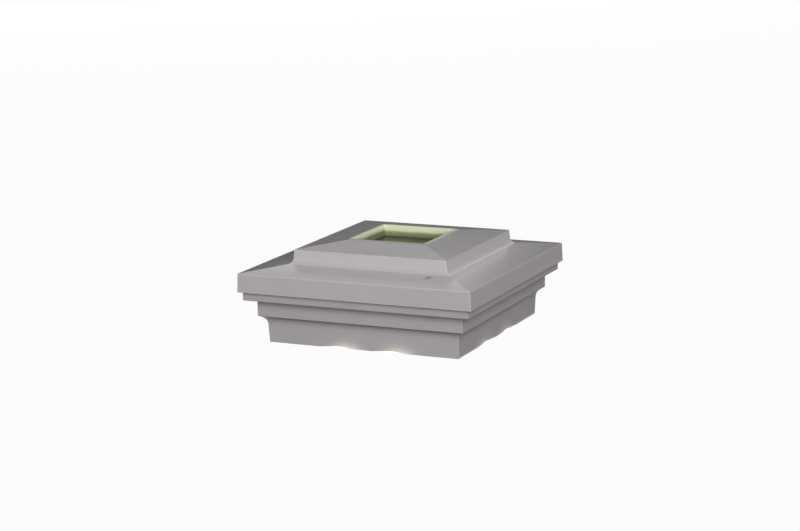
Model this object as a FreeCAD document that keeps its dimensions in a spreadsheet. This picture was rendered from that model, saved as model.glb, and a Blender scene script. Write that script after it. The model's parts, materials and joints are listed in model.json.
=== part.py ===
import FreeCAD, Part
import math
import os
import re
import Sketcher
from FreeCAD import Placement, Rotation, Vector

# Deck post cap light: a two-tier square cap that slips over a post sleeve. A solar
# panel sits in a window in the roof, and four light bars hang inside the skirt.
# Origin: centre of the skirt's bottom edge. +Z up, front towards -Y. Millimetres.

doc = FreeCAD.newDocument("DeckPostCapLight")
dims = doc.addObject("Spreadsheet::Sheet", "dims")

driving = [
    # post
    ("sleeve_width", 113.0, "the post sleeve that the cap slips over"),
    ("sleeve_gap", 0.75, "play between the sleeve and each locating rib"),
    ("rib_thickness", 2.4, "locating ribs inside the skirt"),
    # roof shell, outside
    ("fascia_overhang", 2.6, "how far the fascia stands out past the thin step"),
    ("fascia_height", 12.4, "fascia, bottom to top edge"),
    ("fascia_draft", 0.35, "how far each fascia face leans in at its top"),
    ("roof_slope", 0.132, "rise of both slopes per millimetre inwards"),
    ("tier_setback", 28.05, "fascia's foot in to the upper tier's top edge"),
    ("tier_band", 5.5, "height of the upper tier's upright band"),
    ("tier_draft", 0.45, "how far each band face leans out at its foot"),
    ("tier_cove", 3.8, "radius of the cove at the band's foot"),
    ("roof_wall", 3.0, "thickness of the slopes"),
    ("shoulder_width", 3.4, "ledge inside the fascia that sits on the gasket"),
    ("window_width", 54.6, "opening in the middle of the roof"),
    ("window_depth", 7.0, "roof edge of the window down to the panel's face"),
    # base moulding, outside
    ("step_overhang", 6.85, "how far the thin step stands out past the second band"),
    ("step_height", 5.8, "height of that step"),
    ("band_overhang", 5.4, "how far the second band stands out past the skirt's foot"),
    ("band_height", 11.3, "height of the second band"),
    ("cove_rise", 6.3, "height of the cove under the second band"),
    ("skirt_height", 11.9, "bottom edge to the start of the cove"),
    ("skirt_draft", 0.55, "how far each skirt face leans out at its top"),
    ("base_wall", 2.7, "thickness of the bands and the step"),
    ("skirt_wall", 2.7, "thickness of the skirt at its bottom edge"),
    ("deck_thickness", 3.0, "plate that rests on the post"),
    ("tongue_height", 4.0, "tongue of the base inside the fascia"),
    ("tongue_inset", 0.1, "tongue behind the step's face"),
    ("fit_gap", 0.2, "clearance between parts that slide together"),
    ("gasket_height", 1.6, "seam gasket, squeezed"),
    ("gasket_inset", 0.3, "seam gasket inside the tongue's edges"),
    ("scallop_depth", 0.9, "shallow light scallops in the skirt's edge"),
    ("scallop_width", 24.0, "width of a scallop at the edge"),
    ("root_depth", 0.1, "how far ribs and bosses reach into their wall"),
    # window and panel
    ("liner_wall", 1.2, "translucent lining of the window"),
    ("lip_reach", 0.6, "how far the liner's lip laps the roof"),
    ("lip_thickness", 0.8, "thickness of that lip"),
    ("panel_lap", 2.7, "how far the square solar panel reaches under the roof"),
    ("cover_thickness", 0.8, "clear face of the panel"),
    ("cell_thickness", 0.4, "solar cells"),
    ("cell_gap", 1.0, "gap between two cells"),
    ("cell_border", 2.2, "bare border of the panel"),
    ("busbar_width", 1.2, "collector ribbons across the cells"),
    ("busbar_thickness", 0.1, "thickness of a ribbon"),
    ("panel_board_thickness", 1.6, "board under the cells"),
    ("panel_seal", 0.8, "gasket between liner and panel"),
    ("retainer_thickness", 1.6, "frame that holds the panel up"),
    ("retainer_reach", 7.5, "how far that frame stands out past the panel"),
    ("retainer_rail", 1.2, "rails of the frame round the panel"),
    ("ledge_reach", 4.0, "how far the frame reaches under the panel"),
    ("panel_screw_gap", 4.0, "panel's edge to the panel screws"),
    ("rail_gap", 2.0, "rail's end to a panel screw's boss"),
    # fasteners
    ("case_screw_gap", 2.75, "sleeve's room to the screws that join roof and base"),
    ("case_screw_radius", 1.9, "shank of a case screw"),
    ("case_screw_length", 13.0, "length of a case screw under its head"),
    ("case_boss_radius", 4.2, "bosses that take the case screws"),
    ("small_screw_radius", 1.1, "shank of a small screw"),
    ("small_screw_length", 6.0, "length of a small screw under its head"),
    ("small_boss_radius", 3.0, "bosses that take the small screws"),
    ("head_ratio", 1.9, "screw head radius over shank radius"),
    ("head_rise_ratio", 1.2, "screw head height over shank radius"),
    ("recess_ratio", 0.6, "depth of the cross recess over shank radius"),
    ("slot_ratio", 0.4, "width of the cross recess over shank radius"),
    ("pilot_gap", 0.05, "play between a screw's shank and its hole"),
    ("pilot_room", 0.5, "hole beyond a screw's tip"),
    # battery
    ("battery_diameter", 14.2, "rechargeable cell"),
    ("battery_length", 49.0, "cell without its button"),
    ("battery_place", 38.0, "cell's axis in front of the middle"),
    ("battery_play", 0.3, "cell to the holder's side wall"),
    ("cell_lift", 0.4, "cell above the shut door"),
    ("holder_wall", 1.2, "battery holder"),
    ("button_length", 1.4, "the cell's button"),
    ("button_radius", 2.7, "the cell's button"),
    ("spring_space", 3.2, "room for the spring contact"),
    ("coil_radius", 3.4, "outside of the spring"),
    ("contact_thickness", 0.4, "plate of a contact"),
    ("contact_size", 9.0, "side of a contact's plate"),
    ("tab_reach", 8.0, "screw tabs at the holder's ends"),
    ("tab_thickness", 2.0, "thickness of a screw tab"),
    ("door_thickness", 2.2, "battery door"),
    ("door_gap", 0.3, "play around the battery door"),
    ("hinge_gap", 0.9, "play behind the hinge barrel, so that the door can swing past upright"),
    ("hinge_radius", 1.4, "barrel of the door's hinge"),
    ("hinge_pin_radius", 0.8, "steel pin in the barrel"),
    ("pin_hold", 2.5, "how far the pin goes into the deck"),
    ("grip_length", 12.0, "finger grip under the door's edge"),
    ("grip_width", 1.2, "finger grip under the door's edge"),
    ("grip_inset", 1.5, "door's edge to the middle of the grip"),
    # control board and switch
    ("board_length", 54.0, "control board along X"),
    ("board_width", 28.0, "control board along Y"),
    ("board_thickness", 1.6, "control board"),
    ("board_place", 26.0, "board's centre behind the middle"),
    ("board_standoff", 4.3, "board above the deck"),
    ("connector_length", 7.0, "plug sockets on the board"),
    ("connector_width", 5.0, "plug sockets on the board"),
    ("connector_height", 5.0, "plug sockets on the board"),
    ("connector_place", 16.0, "battery and panel sockets to the board's middle"),
    ("connector_setback", 4.4, "the same sockets' axis to the board's front edge"),
    ("chip_length", 6.0, "control chip"),
    ("chip_width", 5.0, "control chip"),
    ("chip_height", 1.6, "control chip"),
    ("charger_length", 4.0, "charge chip"),
    ("charger_width", 3.0, "charge chip"),
    ("charger_height", 1.3, "charge chip"),
    ("inductor_width", 6.0, "power inductor, square"),
    ("inductor_height", 3.2, "power inductor"),
    ("capacitor_radius", 3.2, "smoothing capacitor"),
    ("capacitor_height", 6.5, "smoothing capacitor"),
    ("switch_travel", 2.5, "from on to off"),
    ("switch_length", 8.6, "body of the slide switch"),
    ("switch_width", 4.0, "body of the slide switch"),
    ("switch_lift", 0.3, "switch body above the deck"),
    ("knob_length", 2.4, "switch knob, square"),
    ("knob_gap", 0.05, "knob under the switch body"),
    ("dish_length", 18.0, "finger dish round the knob"),
    ("dish_width", 12.0, "finger dish, front to back"),
    # light bars
    ("corner_run", 12.65, "light bar's end to the skirt's corner, at the bar's middle"),
    ("bar_width", 6.4, "light bar, across"),
    ("bar_height", 7.8, "light bar, without its lens flange"),
    ("bar_play", 0.8, "room beside a light bar, between sleeve and skirt"),
    ("bar_wall", 0.9, "wall of the light channel"),
    ("lens_flange", 0.9, "lens flange under the channel"),
    ("lens_lift", 0.3, "lens above the skirt's bottom edge"),
    ("lens_plug", 1.2, "part of the lens inside the channel"),
    ("foot_length", 12.0, "lens foot that reaches into a scallop"),
    ("foot_height", 0.45, "thickness of a lens foot"),
    ("foot_lift", 0.1, "lens foot above the skirt's bottom edge"),
    ("light_spacing", 37.0, "between the two light points of a side"),
    ("point_length", 3.5, "light point, along the bar"),
    ("point_width", 2.8, "light point, across the bar"),
    ("point_height", 0.8, "light point"),
    ("strip_thickness", 1.0, "strip that carries the light points"),
    # leads
    ("lead_radius", 1.1, "sheathed leads"),
    ("lead_run", 14.0, "straight run of a lead at its end"),
    ("lead_slack", 4.0, "how far the battery lead bows sideways"),
    ("grommet_wall", 1.0, "rubber round the light lead in the deck"),
    ("grommet_gap", 0.02, "play of the lead in its grommet"),
]
for row, (alias, number, note) in enumerate(driving, start=1):
    dims.set(f"A{row}", note)
    dims.set(f"B{row}", str(number))
    dims.setAlias(f"B{row}", alias)
doc.recompute()
aliases = {alias for alias, number, note in driving}


# Bound sizes
def bound(formula):
    """The formula with every driving dimension written as a cell of the sheet."""
    return re.sub(r"[a-z]\w*", lambda m: f"dims.{m[0]}" if m[0] in aliases else m[0], str(formula))


def size(formula):
    return float(dims.evalExpression(bound(formula)))


def bind(item, prop, formula):
    item.setExpression(prop, bound(formula))


def seat(item, x, y, z, turn=0.0, axis=Vector(0, 0, 1)):
    """Place an object at bound coordinates, turned by a fixed angle."""
    item.Placement = Placement(Vector(size(x), size(y), size(z)), Rotation(axis, turn))
    for letter, formula in zip("xyz", (x, y, z)):
        bind(item, f"Placement.Base.{letter}", formula)


# Part primitives
def block(name, x, y, z, length, width, height):
    """A box centred on x and y, standing on z."""
    item = doc.addObject("Part::Box", name)
    bind(item, "Length", length)
    bind(item, "Width", width)
    bind(item, "Height", height)
    seat(item, f"({x}) - ({length}) / 2", f"({y}) - ({width}) / 2", z)
    return item


def rod(name, x, y, z, radius, height, turn=0.0, axis=Vector(0, 0, 1)):
    item = doc.addObject("Part::Cylinder", name)
    bind(item, "Radius", radius)
    bind(item, "Height", height)
    seat(item, x, y, z, turn, axis)
    return item


def rod_along_x(name, x, y, z, radius, length):
    return rod(name, x, y, z, radius, length, 90, Vector(0, 1, 0))


def fuse(name, items):
    item = doc.addObject("Part::MultiFuse", name)
    item.Shapes = items
    return item


def cut(name, base, tool):
    item = doc.addObject("Part::Cut", name)
    item.Base = base
    item.Tool = tool
    return item


def group(name, items):
    """Several like pieces that stay separate solids."""
    item = doc.addObject("Part::Compound", name)
    item.Links = items
    return item


# Sketches and bodies
def body(name):
    return doc.addObject("PartDesign::Body", name)


def new_sketch(owner, name, role, height):
    """An empty sketch on one of the body's origin planes, or at a height above it."""
    sketch = owner.newObject("Sketcher::SketchObject", name)
    plane = next(feature for feature in owner.Origin.OriginFeatures if feature.Role == role)
    sketch.AttachmentSupport = [(plane, "")]
    sketch.MapMode = "FlatFace"
    bind(sketch, "AttachmentOffset.Base.z", height)
    return sketch


def outline(owner, name, role, points):
    """A closed sketch. A point is (x, y), or (x, y, radius) where an arc follows it:
    a positive radius bulges to the left of the way to the next point."""
    sketch = new_sketch(owner, name, role, 0)
    add_loop(sketch, points)
    return sketch


def add_loop(sketch, points):
    spots = [Vector(size(p[0]), size(p[1]), 0) for p in points]
    first = sketch.GeometryCount
    starts = []
    for i, point in enumerate(points):
        here, there = spots[i], spots[(i + 1) % len(spots)]
        if len(point) == 3:
            edge = Part.Arc(here, arc_middle(here, there, size(point[2])), there)
        else:
            edge = Part.LineSegment(here, there)
        index = sketch.addGeometry(edge, False)
        starts.append(1 if sketch.getPoint(index, 1).isEqual(here, 1e-6) else 2)
    for i, point in enumerate(points):
        after = (i + 1) % len(points)
        sketch.addConstraint(Sketcher.Constraint(
            "Coincident", first + i, 3 - starts[i], first + after, starts[after]))
        for kind, formula in zip(("DistanceX", "DistanceY"), point):
            number = sketch.addConstraint(Sketcher.Constraint(
                kind, -1, 1, first + i, starts[i], size(formula)))
            bind(sketch, f"Constraints[{number}]", formula)
        if len(point) == 3:
            radius = str(point[2]).lstrip("-")
            number = sketch.addConstraint(Sketcher.Constraint("Radius", first + i, size(radius)))
            bind(sketch, f"Constraints[{number}]", radius)


def arc_middle(here, there, radius):
    chord = there - here
    rise = abs(radius) - math.sqrt(radius ** 2 - chord.Length ** 2 / 4)
    side = Vector(-chord.y, chord.x, 0).normalize() * math.copysign(rise, radius)
    return (here + there) / 2 + side


def circles(owner, name, role, places, radius, height=0):
    sketch = new_sketch(owner, name, role, height)
    for x, y in places:
        circle = Part.Circle(Vector(size(x), size(y), 0), Vector(0, 0, 1), size(radius))
        index = sketch.addGeometry(circle, False)
        for kind, formula in (("DistanceX", x), ("DistanceY", y)):
            number = sketch.addConstraint(Sketcher.Constraint(kind, -1, 1, index, 3, size(formula)))
            bind(sketch, f"Constraints[{number}]", formula)
        number = sketch.addConstraint(Sketcher.Constraint("Radius", index, size(radius)))
        bind(sketch, f"Constraints[{number}]", radius)
    return sketch


def rectangles(owner, name, boxes, height):
    """Boxes are (x, y, length, width), centred on x and y, on a level plane."""
    sketch = new_sketch(owner, name, "XY_Plane", height)
    for x, y, length, width in boxes:
        corners = ((-1, -1), (1, -1), (1, 1), (-1, 1))
        add_loop(sketch, [(f"({x}) + ({sx}) * ({length}) / 2", f"({y}) + ({sy}) * ({width}) / 2")
                          for sx, sy in corners])
    return sketch


def pad(owner, sketch, length, both=False):
    """Grows the sketch upwards, or to both sides, and must add material."""
    before = owner.Shape.Volume if owner.Tip else 0.0
    feature = owner.newObject("PartDesign::Pad", f"{sketch.Name}Pad")
    feature.Profile = sketch
    feature.Midplane = both
    bind(feature, "Length", length)
    doc.recompute()
    if owner.Shape.Volume <= before:
        raise ValueError(f"{feature.Name} adds nothing")


def pocket(owner, sketch, length, both=False):
    """Cuts the sketch upwards, or to both sides, and must remove material."""
    before = owner.Shape.Volume
    feature = owner.newObject("PartDesign::Pocket", f"{sketch.Name}Cut")
    feature.Profile = sketch
    feature.Reversed = True
    feature.Midplane = both
    bind(feature, "Length", length)
    doc.recompute()
    if owner.Shape.Volume >= before:
        raise ValueError(f"{feature.Name} cuts nothing")


def square_ring(owner, name, half, profile):
    """Sweeps a section, drawn at +X in (distance from the axis, height), round a square
    with mitred corners. The path starts in the middle of a side."""
    path = outline(owner, f"{name}Path", "XY_Plane",
                   [(half, 0), (half, half), (f"-({half})", half),
                    (f"-({half})", f"-({half})"), (half, f"-({half})")])
    section = outline(owner, f"{name}Section", "XZ_Plane", profile)
    doc.recompute()
    ring = owner.newObject("PartDesign::AdditivePipe", f"{name}Ring")
    ring.Profile = section
    ring.Spine = (path, [f"Edge{i + 1}" for i in range(path.GeometryCount)])
    ring.Mode = "Standard"
    ring.Transition = "Right corner"
    doc.recompute()


def four_corners(place):
    return [(f"({sx}) * {place}", f"({sy}) * {place}") for sx, sy in ((-1, -1), (1, -1), (1, 1), (-1, 1))]


def along_sides(places):
    """Points given on the front side, repeated on all four sides."""
    turned_places = []
    for x, y in places:
        turned_places += [(x, y), (f"-({y})", x), (f"-({x})", f"-({y})"), (y, f"-({x})")]
    return turned_places


# Distances from the middle, from the post outwards
socket_half = "(sleeve_width / 2 + sleeve_gap)"
skirt_inner = f"({socket_half} + bar_width + bar_play)"
skirt_half = f"({skirt_inner} + skirt_wall)"
skirt_top_half = f"({skirt_half} + skirt_draft)"
band_half = f"({skirt_half} + band_overhang)"
band_inner = f"({band_half} - base_wall)"
step_half = f"({band_half} + step_overhang)"
tongue_half = f"({step_half} - tongue_inset)"
tongue_inner = f"({step_half} - base_wall)"
fascia_half = f"({step_half} + fascia_overhang)"
fascia_inner = f"({tongue_half} + fit_gap)"
fascia_top_half = f"({fascia_half} - fascia_draft)"
tier_half = f"({fascia_half} - tier_setback)"
tier_foot_half = f"({tier_half} + tier_draft)"
cove_centre_half = f"({tier_foot_half} + tier_cove)"
window_half = "(window_width / 2)"
rebate_half = f"({window_half} + lip_reach)"
panel_half = f"({window_half} + panel_lap)"
panel_screw_place = f"({panel_half} + panel_screw_gap)"
case_screw_place = f"({socket_half} + case_screw_gap)"

# Heights of the base and the roof
cove_z = "(skirt_height + cove_rise)"
step_z = f"({cove_z} + band_height)"
eave_z = f"({step_z} + step_height)"
fascia_top_z = f"({eave_z} + fascia_height)"
tongue_top_z = f"({eave_z} + tongue_height)"
deck_z = f"({step_z} + base_wall)"
deck_top_z = f"({deck_z} + deck_thickness)"
lean = "sqrt(1 + roof_slope ^ 2)"
cove_centre_z = (f"({fascia_top_z} + roof_slope * ({fascia_top_half} - {cove_centre_half})"
                 f" + tier_cove * {lean})")
tier_top_z = f"({cove_centre_z} + tier_band)"


def lower_slope(half):
    return f"({fascia_top_z} + roof_slope * ({fascia_top_half} - ({half})))"


def upper_slope(half):
    return f"({tier_top_z} + roof_slope * ({tier_half} - ({half})))"


# Levels of the panel, the board, the battery and the light bars
rebate_z = f"({upper_slope(rebate_half)} - lip_thickness / 2)"
panel_z = f"({upper_slope(window_half)} - window_depth)"
cell_z = f"({panel_z} - cover_thickness - busbar_thickness)"
panel_board_z = f"({cell_z} - cell_thickness - panel_board_thickness)"
retainer_z = f"({panel_board_z} - retainer_thickness)"
board_z = f"({deck_top_z} + board_standoff)"
board_top_z = f"({board_z} + board_thickness)"
lead_level = f"({board_top_z} + connector_height / 2)"
cell_axis_z = f"({deck_z} + door_thickness + cell_lift + battery_diameter / 2)"
bar_z = "(lens_lift + lens_flange)"
bar_top_z = f"({bar_z} + bar_height)"

# Places of the hanging and screwed parts
bar_middle = f"({socket_half} + fit_gap + bar_width / 2)"
bar_half = f"({bar_middle} - corner_run)"
bar_screw_place = f"({bar_half} - small_boss_radius)"
bar_screw_places = along_sides([(f"({s}) * {bar_screw_place}", f"-{bar_middle}") for s in (-1, 1)])
board_places = [(f"({sx}) * (board_length / 2 - small_boss_radius)",
                 f"board_place + ({sy}) * (board_width / 2 - small_boss_radius)")
                for sx in (-1, 1) for sy in (-1, 1)]
lead_hole_place = f"({bar_half} / 2)"
hinge_y = "(-battery_place + battery_diameter / 2 + holder_wall + 2 * hinge_radius)"
hinge_z = f"({deck_z} + deck_thickness / 2)"
door_far_y = "(-battery_place - battery_diameter / 2 - holder_wall)"
holder_room = "(battery_length + spring_space + button_length + contact_thickness)"
holder_start = f"(-{holder_room} / 2)"
door_length = f"({holder_room} + 2 * holder_wall)"
holder_places = [(f"({s}) * ({door_length} + tab_reach) / 2", "-battery_place") for s in (-1, 1)]
nodes = {}


def node(name, item):
    item.Label = name
    nodes[name] = item


# The roof
def roof_shell():
    """Two hipped tiers and the fascia, one moulding with a window in the middle."""
    shell = body("RoofShell")
    inner_cove = "(tier_cove + roof_wall)"
    slope_foot = f"({cove_centre_half} - tier_cove * roof_slope / {lean})"
    inner_foot = f"({cove_centre_half} - {inner_cove} * roof_slope / {lean})"
    ledge = f"({tongue_half} - shoulder_width)"
    shoulder_z = f"({tongue_top_z} + gasket_height)"
    tier_inner = f"({tier_foot_half} - roof_wall)"
    square_ring(shell, "Roof", fascia_top_half, [
        (fascia_half, eave_z),
        (fascia_top_half, fascia_top_z),
        (slope_foot, f"{cove_centre_z} - tier_cove / {lean}", "tier_cove"),
        (tier_foot_half, cove_centre_z),
        (tier_half, tier_top_z),
        (rebate_half, upper_slope(rebate_half)),
        (rebate_half, rebate_z),
        (window_half, rebate_z),
        (window_half, f"{upper_slope(window_half)} - roof_wall"),
        (tier_inner, f"{upper_slope(tier_inner)} - roof_wall"),
        (tier_inner, cove_centre_z, f"-{inner_cove}"),
        (inner_foot, f"{cove_centre_z} - {inner_cove} / {lean}"),
        (ledge, f"{lower_slope(ledge)} - roof_wall * {lean}"),
        (ledge, shoulder_z),
        (fascia_inner, shoulder_z),
        (fascia_inner, eave_z),
    ])
    case_slope = lower_slope(f"{case_screw_place} + case_boss_radius")
    roof_bosses(shell, "Case", case_screw_place, deck_top_z, case_slope, "case_boss_radius",
                "case_screw_radius", "case_screw_length - deck_thickness")
    panel_slope = upper_slope(f"{panel_screw_place} + small_boss_radius")
    roof_bosses(shell, "Panel", panel_screw_place, f"({retainer_z} + retainer_thickness)", panel_slope,
                "small_boss_radius", "small_screw_radius", "small_screw_length - retainer_thickness")
    node("roof_shell", shell)


def roof_bosses(shell, name, place, foot, slope, radius, screw_radius, screw_depth):
    """Four bosses that hang from the roof's slope down to the foot level, with pilot holes."""
    places = four_corners(place)
    pad(shell, circles(shell, f"{name}Boss", "XY_Plane", places, radius, foot),
        f"{slope} - roof_wall / 3 - {foot}")
    pocket(shell, circles(shell, f"{name}Pilot", "XY_Plane", places, f"{screw_radius} + pilot_gap", foot),
           f"{screw_depth} + pilot_room")


def window_liner():
    """Translucent square lining with a thin lip on the roof's edge, and its gasket."""
    liner = body("WindowLiner")
    outer = f"({window_half} - fit_gap)"
    inner = f"({outer} - liner_wall)"
    lip_edge = f"({rebate_half} - fit_gap)"
    foot = f"({panel_z} + panel_seal)"
    top = f"({rebate_z} + lip_thickness)"
    square_ring(liner, "Liner", outer, [
        (inner, foot),
        (outer, foot),
        (outer, rebate_z),
        (lip_edge, rebate_z),
        (lip_edge, top),
        (inner, top),
    ])
    node("window_liner", liner)
    seal = body("PanelGasket")
    seal_outer = f"({outer} + liner_wall / 2)"
    square_ring(seal, "Seal", outer, [
        (inner, panel_z),
        (seal_outer, panel_z),
        (seal_outer, foot),
        (inner, foot),
    ])
    node("panel_gasket", seal)


def solar_panel():
    """Clear face, four cells with their ribbons, and the board under them."""
    panel_width = f"(2 * {panel_half})"
    node("panel_cover", block("PanelCover", 0, 0, f"{panel_z} - cover_thickness", panel_width,
                              panel_width, "cover_thickness"))
    field = f"({panel_width} - 2 * cell_border)"
    cell = f"(({field} - 3 * cell_gap) / 4)"
    cells = [block(f"Cell{i + 1}", f"({i} - 1.5) * ({cell} + cell_gap)", 0, f"{cell_z} - cell_thickness",
                   cell, field, "cell_thickness") for i in range(4)]
    node("solar_cells", group("SolarCells", cells))
    ribbons = [block(f"Ribbon{i + 1}", 0, f"({i} - 0.5) * {field} / 2", cell_z, field,
                     "busbar_width", "busbar_thickness") for i in range(2)]
    node("cell_ribbons", group("CellRibbons", ribbons))
    node("panel_board", block("PanelBoard", 0, 0, panel_board_z, panel_width, panel_width,
                              "panel_board_thickness"))


def panel_retainer():
    """Frame screwed to the roof that carries the panel from below."""
    frame = body("PanelRetainer")
    width = f"(2 * ({panel_half} + retainer_reach))"
    opening = f"(2 * ({panel_half} - ledge_reach))"
    pad(frame, rectangles(frame, "Frame", [(0, 0, width, width)], retainer_z), "retainer_thickness")
    pocket(frame, rectangles(frame, "FrameOpening", [(0, 0, opening, opening)], retainer_z),
           "retainer_thickness")
    middle = f"({panel_half} + fit_gap + retainer_rail / 2)"
    length = f"(2 * ({panel_screw_place} - small_boss_radius - fit_gap - rail_gap))"
    rails = [(0, f"({s}) * {middle}", length, "retainer_rail") for s in (-1, 1)]
    rails += [(f"({s}) * {middle}", 0, "retainer_rail", length) for s in (-1, 1)]
    pad(frame, rectangles(frame, "Rails", rails, f"{retainer_z} + retainer_thickness"),
        "panel_board_thickness + cell_thickness")
    pocket(frame, circles(frame, "FrameHoles", "XY_Plane", four_corners(panel_screw_place),
                          "small_screw_radius + fit_gap", retainer_z), "retainer_thickness")
    node("panel_retainer", frame)


# The screws
def screw(name, x, y, z, radius, length, head_up):
    """A cross-recessed pan-head screw whose head bears at z, from below or from above."""
    head_height = f"({radius} * head_rise_ratio)"
    recess_depth = f"({radius} * recess_ratio)"
    slot = f"({radius} * slot_ratio)"
    shank = rod(f"{name}Shank", x, y, f"{z} - ({length})" if head_up else z, radius, length)
    head_z = z if head_up else f"{z} - {head_height}"
    head = rod(f"{name}Head", x, y, head_z, f"{radius} * head_ratio", head_height)
    recess_z = f"{z} + {head_height} - {recess_depth}" if head_up else head_z
    drive = block(f"{name}Drive", x, y, recess_z, f"{radius} * 2", slot, recess_depth)
    cross = block(f"{name}Cross", x, y, recess_z, slot, f"{radius} * 2", recess_depth)
    return cut(name, fuse(f"{name}Whole", [shank, head]), fuse(f"{name}Recess", [drive, cross]))


def screws(name, label, places, z, radius, length, head_up=False):
    items = [screw(f"{name}{i + 1}", x, y, z, radius, length, head_up) for i, (x, y) in enumerate(places)]
    node(label, group(f"{name}s", items))


def fasteners():
    screws("CaseScrew", "case_screws", four_corners(case_screw_place), deck_z,
           "case_screw_radius", "case_screw_length")
    screws("PanelScrew", "panel_screws", four_corners(panel_screw_place), retainer_z,
           "small_screw_radius", "small_screw_length")
    screws("BoardScrew", "board_screws", board_places, board_top_z,
           "small_screw_radius", "board_thickness + board_standoff - pilot_room", head_up=True)
    screws("HolderScrew", "holder_screws", holder_places, f"{deck_top_z} + tab_thickness",
           "small_screw_radius", "tab_thickness + deck_thickness - 2 * pilot_room", head_up=True)
    screws("BarScrew", "bar_screws", bar_screw_places, f"{bar_z} + bar_height / 2",
           "small_screw_radius", "bar_height / 2 + small_screw_length - pilot_room")


# The base
def base_moulding():
    """Stepped bands, cove and skirt round the deck that rests on the post."""
    base = body("BaseMoulding")
    reach = "(band_overhang - skirt_draft)"
    cove_radius = f"(({reach} ^ 2 + cove_rise ^ 2) / (2 * {reach}))"
    slant = f"({band_inner} - {skirt_inner})"
    square_ring(base, "Base", skirt_top_half, [
        (skirt_half, 0),
        (skirt_top_half, "skirt_height", cove_radius),
        (band_half, cove_z),
        (band_half, step_z),
        (step_half, step_z),
        (step_half, eave_z),
        (tongue_half, eave_z),
        (tongue_half, tongue_top_z),
        (tongue_inner, tongue_top_z),
        (tongue_inner, deck_z),
        (band_inner, deck_z),
        (band_inner, f"{cove_z} + base_wall"),
        (skirt_inner, f"{cove_z} + base_wall - {slant}"),
        (skirt_inner, 0),
    ])
    deck_width = f"(2 * {tongue_inner} + 2 * root_depth)"
    pad(base, rectangles(base, "Deck", [(0, 0, deck_width, deck_width)], deck_z), "deck_thickness")
    ribs_and_bosses(base)
    standoffs(base)
    deck_openings(base)
    scallops(base)
    node("base_moulding", base)


def ribs_and_bosses(base):
    """Ribs that locate the sleeve, each joined to a boss that takes a light bar's screw."""
    rib_middle = f"(({socket_half} + {skirt_inner} + root_depth) / 2)"
    rib_depth = f"({skirt_inner} + root_depth - {socket_half})"
    ribs = []
    for s in (-1, 1):
        place = f"({s}) * {bar_screw_place}"
        ribs += [(place, f"-{rib_middle}", "rib_thickness", rib_depth),
                 (place, rib_middle, "rib_thickness", rib_depth),
                 (f"-{rib_middle}", place, rib_depth, "rib_thickness"),
                 (rib_middle, place, rib_depth, "rib_thickness")]
    height = f"{deck_z} - {bar_top_z} + root_depth"
    pad(base, rectangles(base, "Ribs", ribs, bar_top_z), height)
    pad(base, circles(base, "BarBoss", "XY_Plane", bar_screw_places, "small_boss_radius", bar_top_z), height)
    pocket(base, circles(base, "BarPilot", "XY_Plane", bar_screw_places, "small_screw_radius + pilot_gap",
                         bar_top_z), "small_screw_length")


def standoffs(base):
    """Standoffs of the control board, and the holes for the battery holder's screws."""
    pilot = "small_screw_radius + pilot_gap"
    pad(base, circles(base, "Standoffs", "XY_Plane", board_places, "small_boss_radius", deck_top_z),
        "board_standoff")
    pocket(base, circles(base, "StandoffPilot", "XY_Plane", board_places, pilot, deck_top_z),
           "board_standoff")
    pocket(base, circles(base, "HolderPilot", "XY_Plane", holder_places, pilot, f"{deck_z} + pilot_room"),
           "deck_thickness - pilot_room")


def deck_openings(base):
    """Battery hatch with its hinge bore, switch slot, lead hole and case screw holes."""
    near = f"({hinge_y} + hinge_radius + hinge_gap)"
    far = f"({door_far_y} - door_gap)"
    hatch = (0, f"({near} + {far}) / 2", f"{door_length} + 2 * door_gap", f"{near} - {far}")
    pocket(base, rectangles(base, "Hatch", [hatch], deck_z), "deck_thickness")
    pocket(base, circles(base, "HingeBore", "YZ_Plane", [(hinge_y, hinge_z)], "hinge_pin_radius + pilot_gap"),
           f"{door_length} + 2 * (door_gap + pin_hold + pilot_room)", both=True)
    slot = (0, "board_place", "knob_length + switch_travel + 2 * fit_gap", "knob_length + 2 * fit_gap")
    pocket(base, rectangles(base, "KnobSlot", [slot], deck_z), "deck_thickness")
    dish = (0, "board_place", "dish_length", "dish_width")
    pocket(base, rectangles(base, "FingerDish", [dish], deck_z), "deck_thickness / 2")
    pocket(base, circles(base, "LeadHole", "XY_Plane", [(bar_middle, lead_hole_place)],
                         "lead_radius + grommet_wall", deck_z), "deck_thickness")
    pocket(base, circles(base, "CaseHole", "XY_Plane", four_corners(case_screw_place),
                         "case_screw_radius + fit_gap", deck_z), "deck_thickness")


def scallops(base):
    """Two shallow arcs in each side of the skirt's bottom edge, where the light spills."""
    radius = "((scallop_width ^ 2 / 4 + scallop_depth ^ 2) / (2 * scallop_depth))"
    for name, role in (("ScallopFront", "XZ_Plane"), ("ScallopSide", "YZ_Plane")):
        for s in (-1, 1):
            place = (f"({s}) * light_spacing / 2", f"scallop_depth - {radius}")
            arc = circles(base, f"{name}{s + 1}", role, [place], radius)
            pocket(base, arc, f"2 * {band_half}", both=True)


def seam_gasket():
    seal = body("SeamGasket")
    outer = f"({tongue_half} - gasket_inset)"
    inner = f"({tongue_inner} + gasket_inset)"
    square_ring(seal, "Seam", outer, [
        (inner, tongue_top_z),
        (outer, tongue_top_z),
        (outer, f"{tongue_top_z} + gasket_height"),
        (inner, f"{tongue_top_z} + gasket_height"),
    ])
    node("seam_gasket", seal)


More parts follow.
